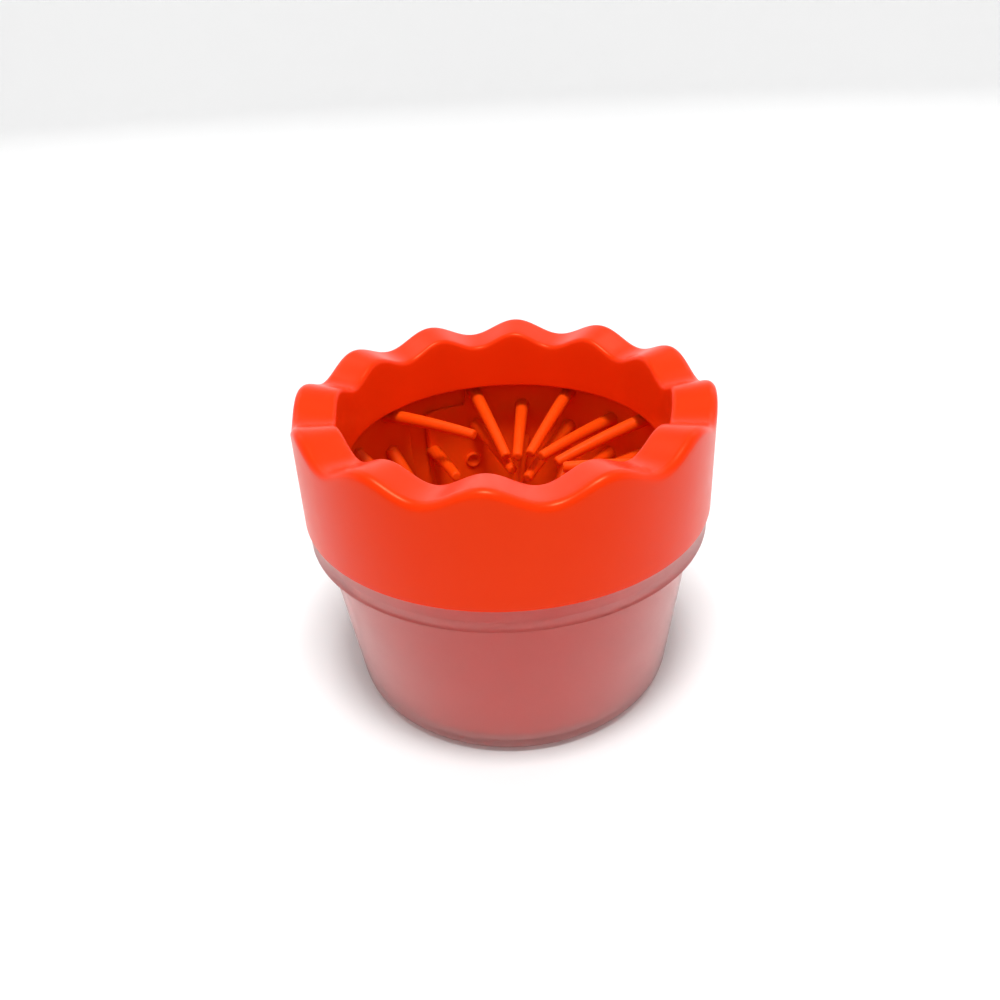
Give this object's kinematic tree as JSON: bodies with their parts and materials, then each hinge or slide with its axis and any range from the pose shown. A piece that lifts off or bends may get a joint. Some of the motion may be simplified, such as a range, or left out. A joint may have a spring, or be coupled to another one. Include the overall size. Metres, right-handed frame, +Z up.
{
  "type": "paw washer cup",
  "caption": "Frosted cup with a rolled silicone brush inside and a wavy push-on splash collar, for washing a dog's paw.",
  "frame": {"origin": "middle of the base, on the surface that the cup stands on", "axes": "+Z up along the cup's axis; -Y is the front; +X is to the right seen from the front"},
  "size_m": [0.11, 0.11, 0.0849],
  "materials": {
    "frosted_cup": "frosted, see-through",
    "collar_plastic": "satin moulded",
    "silicone": "soft satin silicone"
  },
  "bodies": {
    "cup": {"cup_body": "frosted_cup"},
    "brush": {"brush_sheet": "silicone", "bristle_row_1": "silicone", "bristle_row_2": "silicone", "bristle_row_3": "silicone", "bristle_row_4": "silicone", "bristle_row_5": "silicone"},
    "collar": {"splash_collar": "collar_plastic"}
  },
  "joints": [
    {"name": "brush_lift_out", "type": "slide", "parent": "cup", "child": "brush", "axis": [0, 0, 1], "range_m": [0, 0.08]},
    {"name": "collar_lift_off", "type": "slide", "parent": "brush", "child": "collar", "axis": [0, 0, 1], "range_m": [0, 0.05]}
  ]
}
